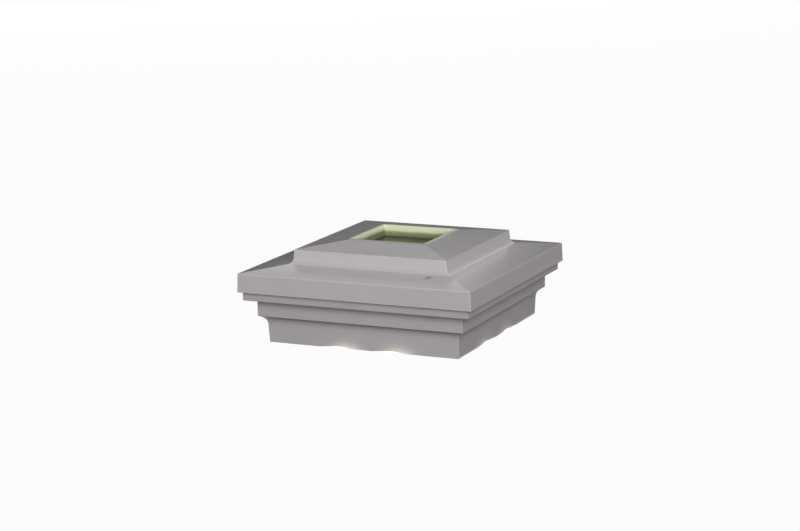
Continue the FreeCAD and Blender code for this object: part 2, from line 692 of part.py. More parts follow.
# The battery
def battery_holder():
    """Holder over the hatch, open towards it, with a screw tab at each end."""
    holder = body("BatteryHolder")
    inner_width = "(battery_diameter + 2 * battery_play)"
    height = f"({cell_axis_z} + battery_diameter / 2 + 2 * cell_lift - {deck_top_z})"
    outside = (0, "-battery_place", door_length, f"{inner_width} + 2 * holder_wall")
    pad(holder, rectangles(holder, "Holder", [outside], deck_top_z), f"{height} + holder_wall")
    tabs = (0, "-battery_place", f"{door_length} + 2 * tab_reach", "tab_reach")
    pad(holder, rectangles(holder, "HolderTabs", [tabs], deck_top_z), "tab_thickness")
    room = (0, "-battery_place", holder_room, inner_width)
    pocket(holder, rectangles(holder, "HolderRoom", [room], deck_top_z), height)
    pocket(holder, circles(holder, "TabHoles", "XY_Plane", holder_places, "small_screw_radius + fit_gap",
                           deck_top_z), "tab_thickness")
    node("battery_holder", holder)


def battery_cell():
    """The cell with its button, and the contacts at its ends."""
    cell_start = f"({holder_start} + spring_space)"
    cell_end = f"({cell_start} + battery_length)"
    can = rod_along_x("CellCan", cell_start, "-battery_place", cell_axis_z, "battery_diameter / 2",
                      "battery_length")
    button = rod_along_x("CellButton", cell_end, "-battery_place", cell_axis_z, "button_radius",
                         "button_length")
    node("battery_cell", fuse("BatteryCell", [can, button]))
    node("positive_contact", contact_plate("PositiveContact", f"{cell_end} + button_length"))
    spring_start = f"({holder_start} + contact_thickness)"
    spring_length = "spring_space - contact_thickness"
    coil = rod_along_x("SpringCoil", spring_start, "-battery_place", cell_axis_z, "coil_radius",
                       spring_length)
    core = rod_along_x("SpringCore", spring_start, "-battery_place", cell_axis_z, "button_radius",
                       spring_length)
    spring = cut("SpringTube", coil, core)
    node("negative_contact", fuse("NegativeContact", [contact_plate("SpringPlate", holder_start), spring]))


def contact_plate(name, start):
    """A square plate across the cell's axis, from a place along X on."""
    return block(name, f"{start} + contact_thickness / 2", "-battery_place",
                 f"{cell_axis_z} - contact_size / 2", "contact_thickness", "contact_size", "contact_size")


def battery_door():
    """Flush hatch door with its hinge barrel along the inner edge, and its pin."""
    door = body("BatteryDoor")
    near = f"({hinge_y} - hinge_radius / 2)"
    plate = (0, f"({near} + {door_far_y}) / 2", door_length, f"{near} - {door_far_y}")
    pad(door, rectangles(door, "DoorPlate", [plate], deck_z), "door_thickness")
    axis = [(hinge_y, hinge_z)]
    pad(door, circles(door, "Barrel", "YZ_Plane", axis, "hinge_radius"), door_length, both=True)
    pocket(door, circles(door, "BarrelBore", "YZ_Plane", axis, "hinge_pin_radius + pilot_gap"),
           f"2 * {door_length}", both=True)
    grip = (0, f"{door_far_y} + grip_inset", "grip_length", "grip_width")
    pocket(door, rectangles(door, "FingerGrip", [grip], deck_z), "door_thickness / 2")
    node("battery_door", door)
    pin = f"({door_length} + 2 * (door_gap + pin_hold))"
    node("door_hinge_pin", rod_along_x("DoorHingePin", f"-{pin} / 2", hinge_y, hinge_z,
                                       "hinge_pin_radius", pin))


# The control board and the switch
socket_row_y = "(board_place - board_width / 2 + connector_setback)"
socket_face_y = f"({socket_row_y} - connector_width / 2)"


def control_board():
    """Charge and dusk control, on four standoffs behind the middle."""
    board = body("ControlBoard")
    plate = (0, "board_place", "board_length", "board_width")
    pad(board, rectangles(board, "Board", [plate], board_z), "board_thickness")
    pocket(board, circles(board, "BoardHoles", "XY_Plane", board_places, "small_screw_radius + fit_gap",
                          board_z), "board_thickness")
    node("control_board", board)
    on_board("controller_chip", "-board_length / 14", "board_place - board_width / 14",
             "chip_length", "chip_width", "chip_height")
    on_board("charge_chip", "board_length / 7", "board_place - board_width / 5",
             "charger_length", "charger_width", "charger_height")
    on_board("power_inductor", "board_length / 7", "board_place + board_width / 7",
             "inductor_width", "inductor_width", "inductor_height")
    for label, x in (("battery_connector", "connector_place"), ("panel_connector", "-connector_place")):
        on_board(label, x, socket_row_y, "connector_length", "connector_width", "connector_height")
    on_board("light_connector", "board_length / 2 - fit_gap - connector_width / 2", "board_place",
             "connector_width", "connector_length", "connector_height")
    can_y = "board_place + board_width / 10"
    node("smoothing_capacitor", rod("SmoothingCapacitor", "-connector_place", can_y, board_top_z,
                                    "capacitor_radius", "capacitor_height"))


def on_board(label, x, y, length, width, height):
    node(label, block(label.title().replace("_", ""), x, y, board_top_z, length, width, height))


def power_switch():
    """Slide switch under the board, with its knob in the deck's slot."""
    body_z = f"({deck_top_z} + switch_lift)"
    knob_z = f"({deck_z} + fit_gap)"
    node("switch_body", block("SwitchBody", 0, "board_place", body_z, "switch_length", "switch_width",
                              "board_standoff - switch_lift"))
    node("switch_knob", block("SwitchKnob", "-switch_travel / 2", "board_place", knob_z, "knob_length",
                              "knob_length", f"{body_z} - knob_gap - {knob_z}"))


# The light bars
def light_bar(side, turn):
    """One bar inside the skirt: channel, strip, two light points and the lens."""
    spin = Placement(Vector(0, 0, 0), Rotation(Vector(0, 0, 1), turn))
    middle = f"-{bar_middle}"
    trough_width = "(bar_width - 2 * bar_wall)"
    trough_length = f"(2 * {bar_half} - 4 * small_boss_radius)"
    inner_width = f"({trough_width} - 2 * fit_gap)"
    inner_length = f"({trough_length} - 2 * fit_gap)"
    strip_z = f"({bar_top_z} - bar_wall - strip_thickness)"
    light_channel(side, spin, (0, middle, trough_length, trough_width))
    strip = block(f"LightStrip{side}", 0, middle, strip_z, inner_length, inner_width, "strip_thickness")
    node(f"light_strip_{side}", turned(strip, f"LightStripSet{side}", spin))
    points = [block(f"LightPoint{side}{s + 1}", f"({s}) * light_spacing / 2", middle,
                    f"{strip_z} - point_height", "point_length", "point_width", "point_height")
              for s in (-1, 1)]
    node(f"light_points_{side}", turned(group(f"LightPoints{side}", points), f"LightPointSet{side}", spin))
    light_lens(side, spin, (0, middle, inner_length, "bar_width"), (0, middle, inner_length, inner_width))


def light_channel(side, spin, trough):
    """Channel open downwards, with a sunk screw hole at each end."""
    channel = body(f"LightChannel{side}")
    middle = f"-{bar_middle}"
    outside = (0, middle, f"2 * {bar_half}", "bar_width")
    holes = [(f"({s}) * {bar_screw_place}", middle) for s in (-1, 1)]
    pad(channel, rectangles(channel, f"Channel{side}", [outside], bar_z), "bar_height")
    pocket(channel, rectangles(channel, f"Trough{side}", [trough], bar_z), "bar_height - bar_wall")
    pocket(channel, circles(channel, f"ChannelHoles{side}", "XY_Plane", holes,
                            "small_screw_radius + fit_gap", bar_z), "bar_height")
    pocket(channel, circles(channel, f"HeadRoom{side}", "XY_Plane", holes,
                            "small_screw_radius * head_ratio + fit_gap", bar_z), "bar_height / 2")
    channel.Placement = spin
    node(f"light_channel_{side}", channel)


def light_lens(side, spin, flange, plug):
    """Lens across the channel's mouth, with a foot towards each scallop."""
    lens = body(f"LightLens{side}")
    foot_start = f"({bar_middle} + bar_width / 4)"
    feet = [(f"({s}) * light_spacing / 2", f"-({foot_start} + {skirt_half}) / 2", "foot_length",
             f"{skirt_half} - {foot_start}") for s in (-1, 1)]
    pad(lens, rectangles(lens, f"Flange{side}", [flange], "lens_lift"), "lens_flange")
    pad(lens, rectangles(lens, f"Plug{side}", [plug], bar_z), "lens_plug")
    pad(lens, rectangles(lens, f"Feet{side}", feet, "foot_lift"), "foot_height")
    lens.Placement = spin
    node(f"light_lens_{side}", lens)


def turned(item, name, placement):
    holder = group(name, [item])
    holder.Placement = placement
    return holder


# The leads
def lead(name, points):
    """A tube along straight runs joined by tangent arcs."""
    spots = [Vector(*(size(c) for c in point)) for point in points]
    edges, here = [], spots[0]
    for before, corner, after in zip(spots, spots[1:], spots[2:]):
        run_in, run_out = (before - corner), (after - corner)
        half_turn = (math.pi - run_in.getAngle(run_out)) / 2
        setback = 0.45 * min(run_in.Length, run_out.Length)
        bend = setback / math.tan(half_turn)
        start = corner + run_in.normalize() * setback
        end = corner + run_out.normalize() * setback
        inward = (run_in + run_out).normalize()
        middle = corner + inward * (bend / math.cos(half_turn) - bend)
        edges += [Part.LineSegment(here, start).toShape(), Part.Arc(start, middle, end).toShape()]
        here = end
        print(f"{name}: bend radius {bend:.1f}")
    edges.append(Part.LineSegment(here, spots[-1]).toShape())
    ring = Part.Wire(Part.makeCircle(size("lead_radius"), spots[0], spots[1] - spots[0]))
    return Part.Wire(edges).makePipeShell([ring], True, False)


def tubes(label, shapes):
    item = doc.addObject("Part::Feature", label.title().replace("_", ""))
    item.Shape = shapes[0] if len(shapes) == 1 else Part.makeCompound(shapes)
    node(label, item)


def leads():
    """Panel, battery and light leads inside the cap, and the links round the skirt's corners."""
    drop_y = f"({socket_face_y} - lead_run)"
    tubes("panel_lead", [lead("panel_lead", [
        ("-connector_place", drop_y, panel_board_z),
        ("-connector_place", drop_y, lead_level),
        ("-connector_place", socket_face_y, lead_level)])])
    start_y = "(-battery_place + battery_diameter / 2 + battery_play + holder_wall)"
    run = f"({socket_face_y} - {start_y})"
    bow = "(connector_place - lead_slack)"
    tubes("battery_lead", [lead("battery_lead", [
        ("connector_place", start_y, lead_level),
        ("connector_place", f"{start_y} + {run} / 4", lead_level),
        (bow, f"{start_y} + {run} / 2", lead_level),
        ("connector_place", f"{start_y} + {run} * 3 / 4", lead_level),
        ("connector_place", socket_face_y, lead_level)])])
    tubes("light_lead", [lead("light_lead", [
        ("board_length / 2 - fit_gap", "board_place", lead_level),
        (f"{bar_middle} - lead_run", "board_place", lead_level),
        (bar_middle, lead_hole_place, lead_level),
        (bar_middle, lead_hole_place, bar_top_z)])])
    grommet = rod("GrommetBody", bar_middle, lead_hole_place, deck_z, "lead_radius + grommet_wall",
                  "deck_thickness")
    bore = rod("GrommetBore", bar_middle, lead_hole_place, deck_z, "lead_radius + grommet_gap",
               "deck_thickness")
    node("lead_grommet", cut("GrommetRing", grommet, bore))
    level = f"({bar_z} + bar_height / 2)"
    link = lead("corner_links", [
        (bar_half, f"-{bar_middle}", level),
        (bar_middle, f"-{bar_middle}", level),
        (bar_middle, f"-{bar_half}", level)])
    tubes("corner_links", [link.rotated(Vector(0, 0, 0), Vector(0, 0, 1), turn) for turn in (0, 90, 180)])


# The assembly
roof_shell()
window_liner()
solar_panel()
panel_retainer()
base_moulding()
seam_gasket()
fasteners()
battery_holder()
battery_cell()
battery_door()
control_board()
power_switch()
for turn, side in ((0, "front"), (90, "right"), (180, "back"), (270, "left")):
    light_bar(side, turn)
leads()
doc.recompute()

for item in doc.Objects:
    if {"Invalid", "Error"} & set(item.State):
        raise ValueError(f"{item.Name} failed: {item.State}")
for name, item in nodes.items():
    if item.Shape.isNull() or not item.Shape.isValid():
        raise ValueError(f"{name} has no valid shape")
os.makedirs("parts", exist_ok=True)
for name, item in nodes.items():
    item.Shape.exportStep(f"parts/{name}.step")
print(f"{len(nodes)} pieces written")
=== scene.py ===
import json
import math

import bmesh
import bpy
from mathutils import Matrix, Vector


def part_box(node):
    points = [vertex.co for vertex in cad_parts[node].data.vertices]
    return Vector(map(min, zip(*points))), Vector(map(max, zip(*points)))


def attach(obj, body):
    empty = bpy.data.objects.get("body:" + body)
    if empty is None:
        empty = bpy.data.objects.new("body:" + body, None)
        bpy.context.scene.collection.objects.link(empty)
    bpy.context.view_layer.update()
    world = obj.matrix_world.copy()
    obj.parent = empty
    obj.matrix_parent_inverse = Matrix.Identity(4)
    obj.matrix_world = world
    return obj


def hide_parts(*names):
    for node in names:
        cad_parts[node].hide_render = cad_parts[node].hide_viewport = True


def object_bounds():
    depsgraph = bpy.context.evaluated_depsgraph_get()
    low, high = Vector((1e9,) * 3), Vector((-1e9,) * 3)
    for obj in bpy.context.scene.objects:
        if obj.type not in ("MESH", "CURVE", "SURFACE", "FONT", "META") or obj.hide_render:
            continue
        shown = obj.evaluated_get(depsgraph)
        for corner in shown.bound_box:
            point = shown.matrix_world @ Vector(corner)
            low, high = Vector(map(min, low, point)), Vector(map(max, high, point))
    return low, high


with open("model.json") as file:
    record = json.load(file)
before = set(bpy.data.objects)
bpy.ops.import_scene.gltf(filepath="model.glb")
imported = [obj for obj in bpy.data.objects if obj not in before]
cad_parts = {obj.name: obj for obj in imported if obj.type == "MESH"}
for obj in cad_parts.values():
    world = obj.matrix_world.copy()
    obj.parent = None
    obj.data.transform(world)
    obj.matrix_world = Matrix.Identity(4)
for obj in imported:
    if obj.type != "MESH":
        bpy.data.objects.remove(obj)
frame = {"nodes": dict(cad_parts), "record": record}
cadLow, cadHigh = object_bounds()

# A grey deck post cap with a solar panel in its roof window, seen on a pale floor.
# Everything is in metres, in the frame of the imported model.

mm = 0.001


def srgb(red, green, blue):
    # a colour as it is read off a screen, 0 to 255, as the linear values that shaders use
    def straight(c):
        c = c / 255
        return c / 12.92 if c <= 0.04045 else ((c + 0.055) / 1.055) ** 2.4
    return (straight(red), straight(green), straight(blue), 1.0)


# Shader helpers

class Wire:
    # wraps an output socket, so that plain expressions add the Math nodes
    def __init__(self, nodes, socket):
        self.nodes = nodes
        self.socket = socket

    def maths(self, operation, first, second=0.0):
        return self.nodes.add("ShaderNodeMath", {"operation": operation}, {0: first, 1: second})

    def __add__(self, other):
        return self.maths("ADD", self, other)

    def __sub__(self, other):
        return self.maths("SUBTRACT", self, other)

    def __mul__(self, other):
        return self.maths("MULTIPLY", self, other)

    def __truediv__(self, other):
        return self.maths("DIVIDE", self, other)

    def __pow__(self, other):
        return self.maths("POWER", self, other)

    def __rsub__(self, other):
        return self.maths("SUBTRACT", other, self)

    def __rtruediv__(self, other):
        return self.maths("DIVIDE", other, self)

    def __rpow__(self, other):
        return self.maths("POWER", other, self)

    __radd__ = __add__
    __rmul__ = __mul__

    def __abs__(self):
        return self.maths("ABSOLUTE", self)

    def atMost(self, other):
        return self.maths("MINIMUM", self, other)

    def atLeast(self, other):
        return self.maths("MAXIMUM", self, other)

    def above(self, other):
        return self.maths("GREATER_THAN", self, other)

    def exp(self):
        return self.maths("EXPONENT", self)

    def fraction(self):
        return self.maths("FRACT", self)

    def between(self, low, high):
        # 0 at low, 1 at high, smooth in between
        return self.nodes.add("ShaderNodeMapRange", {"interpolation_type": "SMOOTHSTEP"},
                              {"Value": self, "From Min": low, "From Max": high})


class Nodes:
    # one node tree, to which nodes are added
    def __init__(self, tree):
        self.tree = tree

    def add(self, kind, settings=None, values=None, output=0):
        node = self.tree.nodes.new(kind)
        for key, value in (settings or {}).items():
            if key == "stops":
                self.fillRamp(node.color_ramp, value)
            else:
                setattr(node, key, value)
        for key, value in (values or {}).items():
            if isinstance(value, Wire):
                self.tree.links.new(value.socket, node.inputs[key])
            else:
                node.inputs[key].default_value = value
        return Wire(self, node.outputs[output])

    def fillRamp(self, ramp, stops):
        while len(ramp.elements) < len(stops):
            ramp.elements.new(1.0)
        for element, (spot, colour) in zip(ramp.elements, stops):
            element.position = spot
            element.color = colour

    def seenOrMirrored(self):
        # 1 for rays from the camera, from gloss and through glass
        kinds = ("Is Camera Ray", "Is Glossy Ray", "Is Transmission Ray")
        camera, glossy, glass = (self.add("ShaderNodeLightPath", output=kind) for kind in kinds)
        return camera.atLeast(glossy).atLeast(glass)


class Finish(Nodes):
    # one node material with a Principled shader
    def __init__(self, name, colour, roughness=0.5, metallic=0.0, **plain):
        self.material = bpy.data.materials.new(name)
        self.material.use_nodes = True
        super().__init__(self.material.node_tree)
        self.shader = self.tree.nodes["Principled BSDF"]
        self.shader.inputs["Base Color"].default_value = colour
        self.shader.inputs["Roughness"].default_value = roughness
        self.shader.inputs["Metallic"].default_value = metallic
        for socket, value in plain.items():
            self.shader.inputs[socket.replace("_", " ")].default_value = value
        self.place = None

    def feed(self, socket, value):
        self.tree.links.new(value.socket, self.shader.inputs[socket])

    def position(self):
        if self.place is None:
            self.place = self.add("ShaderNodeTexCoord", output="Object")
        return self.place

    def axes(self):
        split = self.add("ShaderNodeSeparateXYZ", values={0: self.position()})
        return [Wire(self, split.socket.node.outputs[i]) for i in range(3)]

    def noise(self, size, detail=3.0, roughness=0.55, stretch=None):
        # size is that of the spots, in metres
        where = self.position()
        if stretch:
            where = self.add("ShaderNodeVectorMath", {"operation": "MULTIPLY"}, {0: where, 1: stretch})
        return self.add("ShaderNodeTexNoise", values={
            "Vector": where, "Scale": 1 / size, "Detail": detail, "Roughness": roughness})

    def cells(self, size, feature="F1"):
        return self.add("ShaderNodeTexVoronoi", {"feature": feature}, {
            "Vector": self.position(), "Scale": 1 / size})

    def lit(self, colour, strength=1.0):
        # the surface gives off light of its own, in a colour or in one that varies
        if isinstance(colour, Wire):
            self.feed("Emission Color", colour)
        else:
            self.shader.inputs["Emission Color"].default_value = colour
        self.shader.inputs["Emission Strength"].default_value = strength

    def blend(self, factor, first, second):
        return self.add("ShaderNodeMix", {"data_type": "RGBA"}, {0: factor, 6: first, 7: second}, output=2)

    def bump(self, height, depth, under=None):
        values = {"Strength": 1.0, "Distance": depth, "Height": height}
        if under:
            values["Normal"] = under
        return self.add("ShaderNodeBump", values=values, output="Normal")


black = (0.0, 0.0, 0.0, 1.0)
white = (1.0, 1.0, 1.0, 1.0)


def shade(colour, factor):
    return tuple(c * factor for c in colour[:3]) + (1.0,)


def hump(value):
    # 1 where the value is 0, falling to about a third at 1 or -1
    return (0 - value ** 2).exp()


# Finishes

greyPlastic = {
    "colour": srgb(169, 164, 166), "roughness": 0.34, "grain": 0.5 * mm, "grainDepth": 0.012 * mm,
    "flow": 28 * mm, "fine": 2.2 * mm, "waves": 34 * mm, "waveDepth": 0.05 * mm,
    "speck": 0.8 * mm, "speckMost": 0.22, "speckTone": 0.62,
    "lint": 1.9 * mm, "lintMost": 0.25, "dust": srgb(178, 174, 168),
    # the base moulding is made darker: painted shade, as under the roof's overhang
    "baseShadeTone": 0.87, "doorTone": 0.97,
}


def mouldedGrey(name, tone=1.0, roof=False, base=False):
    # satin weatherproof moulding: fine spark grain, faint flow clouds, dark specks and pale lint
    hue = shade(greyPlastic["colour"], tone)
    finish = Finish(name, hue, greyPlastic["roughness"], IOR=1.49, Coat_Roughness=roofLook["coatRoughness"])
    clouds = finish.noise(greyPlastic["flow"], 4.0).between(0.3, 0.7)
    fine = finish.noise(greyPlastic["fine"], 3.0)
    colour = finish.blend(clouds * 0.7 + fine * 0.3, shade(hue, 0.965), shade(hue, 1.03))
    specks = finish.noise(greyPlastic["speck"], 1.0).between(0.69, 0.76)
    colour = finish.blend(specks * greyPlastic["speckMost"], colour, shade(hue, greyPlastic["speckTone"]))
    lint = finish.noise(greyPlastic["lint"], 2.0, stretch=(1.0, 0.35, 1.0)).between(0.70, 0.80)
    colour = finish.blend(lint * greyPlastic["lintMost"], colour, greyPlastic["dust"])
    if roof:
        # painted light and painted highlights on the roof, and the nick
        colour = roofLightAndNick(finish, colour, hue)
    if base:
        # painted shade under the overhangs, and painted light at the skirt's foot
        colour = paintOverhangShade(finish, colour)
        colour = lightSpill(finish, colour)
    finish.feed("Base Color", colour)
    finish.feed("Roughness", greyPlastic["roughness"] - 0.05 + finish.noise(9 * mm, 3.0) * 0.10)
    rough = finish.noise(greyPlastic["grain"], 2.0)
    pits = finish.cells(greyPlastic["grain"] * 1.7)
    skin = finish.bump(rough * 0.7 + pits * 0.3, greyPlastic["grainDepth"])
    waves = finish.bump(finish.noise(greyPlastic["waves"], 2.0), greyPlastic["waveDepth"], skin)
    finish.feed("Normal", waves)
    return finish.material


roofLook = {
    # slopes have a coat of gloss, less of it on the upper tier, which ends at tierReach
    "slopeCoat": 1.0, "tierCoat": 0.35, "coatRoughness": 0.24, "tierReach": 55 * mm,
    # the tier's upright band and the slope round it are paler, as the photograph shows them
    # that paler tone is painted light, not the moulding's own colour
    "tierLitTone": 1.2, "slopeLitTone": 1.46, "tierFade": 30 * mm, "flatFrom": 0.7, "flatFull": 0.95,
    # painted highlights: pale lines along the top of the fascia and up its corners
    "eaveTop": 47.6 * mm, "eaveFrom": 80.9 * mm, "highlightWidth": 0.6 * mm, "highlightMost": 0.6,
    "highlightSpots": 11 * mm, "edgeHighlight": srgb(205, 201, 203),
}


def roofLightAndNick(finish, colour, hue):
    # glossier slopes, painted light on the upper tier and the slope round it, painted highlights on the
    # fascia's edges, and the nick
    x, y, z = finish.axes()
    out = abs(x).atLeast(abs(y))
    normal = finish.add("ShaderNodeTexCoord", output="Normal")
    facing = finish.add("ShaderNodeSeparateXYZ", values={0: normal}, output=2)
    flat = facing.between(roofLook["flatFrom"], roofLook["flatFull"])
    upright = 1 - flat
    onTier = 1 - out.between(roofLook["tierReach"], roofLook["tierReach"] + 1 * mm)
    coat = roofLook["slopeCoat"] - onTier * (roofLook["slopeCoat"] - roofLook["tierCoat"])
    finish.feed("Coat Weight", flat * coat)
    # painted light: a paler tone on the tier's upright band and the slope round it
    near = 1 - out.between(roofLook["tierReach"], roofLook["tierReach"] + roofLook["tierFade"])
    paler = near * (1 - onTier * (1 - upright))
    upper = finish.blend(upright, shade(hue, roofLook["slopeLitTone"]), shade(hue, roofLook["tierLitTone"]))
    mottle = 0.94 + finish.noise(greyPlastic["fine"]) * 0.12
    colour = finish.blend(paler * mottle, colour, upper)
    # painted highlights along the fascia's top edge and up its corners, in spots
    top = hump((z - roofLook["eaveTop"]) / roofLook["highlightWidth"]) * out.above(roofLook["eaveFrom"])
    corner = hump((abs(x) - abs(y)) / roofLook["highlightWidth"]) * upright
    edgeHighlight = top.atLeast(corner) * (finish.noise(roofLook["highlightSpots"], 2.0) * 0.5 + 0.5)
    colour = finish.blend(edgeHighlight * roofLook["highlightMost"], colour, roofLook["edgeHighlight"])
    return blemish(finish, colour)


overhangShadeLook = {
    # height of each overhang, reach of the wall under it, how dark its painted shade is and how far down
    "under": ((35.3 * mm, 79.4 * mm, 0.8, 1.2 * mm), (29.5 * mm, 72.6 * mm, 1.0, 2.4 * mm),
              (18.2 * mm, 72.6 * mm, 0.9, 2.0 * mm)),
    "outside": 66.0 * mm, "patches": 6 * mm, "colour": srgb(44, 42, 41),
}


def paintOverhangShade(finish, colour):
    # painted shade in the corner under each overhang, in patches
    x, y, z = finish.axes()
    out = abs(x).atLeast(abs(y))
    patches = (finish.noise(overhangShadeLook["patches"], 3.0) * 0.4 + 0.8) * out.above(overhangShadeLook["outside"])
    for height, wall, most, fade in overhangShadeLook["under"]:
        below = (height - z) / fade
        onWall = 1 - out.between(wall + 0.3 * mm, wall + 1.5 * mm)
        mask = (0 - below.atLeast(0.0)).exp() * below.above(-0.05) * onWall
        colour = finish.blend((mask * patches * most).atMost(1.0), colour, overhangShadeLook["colour"])
    return colour


scuff = {"x": 45.0 * mm, "y": -62.5 * mm, "turn": 86.0, "length": 3.1 * mm, "width": 2.0 * mm,
         "edge": 1.3 * mm, "most": 0.9, "colour": srgb(84, 80, 82)}


def blemish(finish, colour):
    # a small dark nick on the front of the lower slope
    x, y = finish.axes()[:2]
    turn = math.radians(scuff["turn"])
    dx, dy = x - scuff["x"], y - scuff["y"]
    along = (dx * math.cos(turn) + dy * math.sin(turn)) / scuff["length"]
    across = (dx * math.sin(turn) - dy * math.cos(turn)) / scuff["width"]
    ragged = finish.noise(scuff["edge"], 3.0) * 0.8 + 0.6
    near = (0 - (along * along + across * across) * ragged).exp()
    return finish.blend(near * scuff["most"], colour, scuff["colour"])


glow = {
    # lean sets the glow off from the light points, and the two other sides have sideShare of it
    "spacing": 37.0 * mm, "spread": 9.0 * mm, "rise": 2.4 * mm, "lean": 6.6 * mm, "sideShare": 0.6,
    "from": 60 * mm, "full": 63 * mm,
    "colour": srgb(252, 250, 238), "strength": 0.25, "tint": 0.6,
}


def nearLights(finish):
    # 1 near each light point at the skirt's foot, falling away along the side and up the skirt
    x, y, z = finish.axes()
    half = glow["spacing"] / 2
    masks = []
    for along, across, share in ((x - glow["lean"], y, 1.0), (y + glow["lean"], x, glow["sideShare"])):
        offset = (abs(along) - half) / glow["spread"]
        outside = abs(across).between(glow["from"], glow["full"]) * share
        masks.append((0 - offset * offset).exp() * outside)
    return masks[0].atLeast(masks[1]) * (0 - z.atLeast(0.0) / glow["rise"]).exp()


def lightSpill(finish, colour):
    # light on the foot of the skirt, given off by the skirt's own finish
    near = nearLights(finish)
    finish.lit(finish.blend(near, black, shade(glow["colour"], glow["strength"])))
    return finish.blend(near * glow["tint"], colour, glow["colour"])


creamPlastic = {
    # the foot, middle, dark and shaded lip colours are painted shade in the window's recess, and glow is
    # painted light
    "lip": srgb(212, 214, 190), "top": srgb(214, 218, 182), "middle": srgb(150, 156, 112),
    "foot": srgb(128, 132, 98), "dark": srgb(58, 62, 42), "shadedLip": srgb(150, 148, 136),
    "wall": 3.0 * mm, "roughness": 0.28, "lipFrom": 0.9 * mm, "lipTo": 1.6 * mm,
    "leftDark": 0.8, "nearLipShade": 0.85, "rightLipShade": 0.35, "glow": 0.16,
}


def creamLiner(name, low, high):
    # pale lining, creamier at the lip, with painted shade making it darker towards the panel and on the left
    # wall, painted shade along the near lip and a little on the right one, and a faint painted glow
    finish = Finish(name, creamPlastic["middle"], creamPlastic["roughness"], IOR=1.48)
    x, y, z = finish.axes()
    rise = (z - low.z) / (high.z - low.z)
    drift = finish.noise(6 * mm, 3.0) * 0.16 - 0.08
    leftWall = 1 - x.between(low.x, low.x + creamPlastic["wall"])
    # painted shade: darker deeper down towards the panel, and more so on the left wall
    depth = rise + drift - leftWall * 0.2
    colour = finish.add("ShaderNodeValToRGB", {"stops": [
        (0.06, creamPlastic["foot"]), (0.28, creamPlastic["middle"]), (0.48, creamPlastic["top"]),
        (1.0, creamPlastic["lip"])]}, {0: depth})
    shadow = leftWall * (1 - rise.between(0.45, 0.85)) * creamPlastic["leftDark"]
    colour = finish.blend(shadow, colour, creamPlastic["dark"])
    streaks = finish.noise(1.4 * mm, 2.0, stretch=(1.0, 1.0, 0.2)).between(0.45, 0.8)
    colour = finish.blend(streaks * 0.18, colour, creamPlastic["lip"])
    lipFrom, lipTo = creamPlastic["lipFrom"], creamPlastic["lipTo"]
    # painted shade along the near lip and a little on the right one
    nearLip = (1 - y.between(low.y + lipFrom, low.y + lipTo)) * creamPlastic["nearLipShade"]
    rightLip = x.between(high.x - lipTo, high.x - lipFrom) * creamPlastic["rightLipShade"]
    lipShade = nearLip.atLeast(rightLip) * rise.between(0.75, 0.9)
    colour = finish.blend(lipShade, colour, creamPlastic["shadedLip"])
    finish.feed("Base Color", colour)
    # a painted glow on the walls, though the lining is no lamp
    glowing = depth.between(0.2, 0.9) * (1 - lipShade) * creamPlastic["glow"]
    finish.lit(finish.blend(glowing, black, creamPlastic["lip"]))
    finish.feed("Roughness", creamPlastic["roughness"] + finish.noise(2 * mm) * 0.08)
    finish.feed("Normal", finish.bump(finish.noise(3 * mm, 3.0), 0.06 * mm))
    return finish.material


resinFace = {
    "cell": srgb(60, 64, 48), "line": srgb(122, 126, 104), "dust": srgb(150, 148, 124),
    "fleck": 2.6 * mm, "pitch": 2.0 * mm, "lineShare": 0.07, "busPitch": 13.5 * mm, "busShare": 0.05,
    "roughness": 0.22, "gloss": 0.15,
}


def resinCells(name):
    # resin face of the panel: dark olive cells, thin fingers and wider bus lines show in it
    finish = Finish(name, resinFace["cell"], resinFace["roughness"], IOR=1.5,
                    Specular_IOR_Level=resinFace["gloss"])
    x, y = finish.axes()[:2]
    flecks = finish.cells(resinFace["fleck"])
    colour = finish.blend(flecks * 0.6, shade(resinFace["cell"], 0.7), shade(resinFace["cell"], 1.3))
    across = (y / resinFace["pitch"]).fraction()
    finger = 1 - across.between(resinFace["lineShare"], resinFace["lineShare"] * 1.6)
    along = (x / resinFace["busPitch"] + 0.5).fraction()
    bus = 1 - along.between(resinFace["busShare"], resinFace["busShare"] * 1.3)
    colour = finish.blend((finger * 0.35).atLeast(bus * 0.5), colour, resinFace["line"])
    dust = finish.noise(1.0 * mm, 2.0).between(0.60, 0.74)
    colour = finish.blend(dust * 0.3, colour, resinFace["dust"])
    finish.feed("Base Color", colour)
    haze = finish.noise(5 * mm, 4.0).between(0.35, 0.8)
    finish.feed("Roughness", resinFace["roughness"] - 0.05 + haze * 0.12)
    finish.feed("Normal", finish.bump(finish.noise(7 * mm), 0.03 * mm))
    return finish.material


silicon = {"colour": srgb(36, 39, 28), "line": srgb(92, 95, 80), "fleck": 2.6 * mm,
           "pitch": 2.0 * mm, "lineShare": 0.055}


def cellSilicon(name):
    # dark olive cells with crystal flecks and thin printed fingers
    finish = Finish(name, silicon["colour"], 0.3, IOR=1.6)
    flecks = finish.cells(silicon["fleck"])
    colour = finish.blend(flecks * 0.5, shade(silicon["colour"], 0.75), shade(silicon["colour"], 1.35))
    across = (finish.axes()[1] / silicon["pitch"]).fraction()
    finger = 1 - across.between(silicon["lineShare"], silicon["lineShare"] * 1.6)
    finish.feed("Base Color", finish.blend(finger * 0.55, colour, silicon["line"]))
    finish.feed("Roughness", 0.28 + finger * 0.2 + finish.noise(4 * mm) * 0.08)
    finish.feed("Normal", finish.bump(finger, 0.02 * mm))
    return finish.material


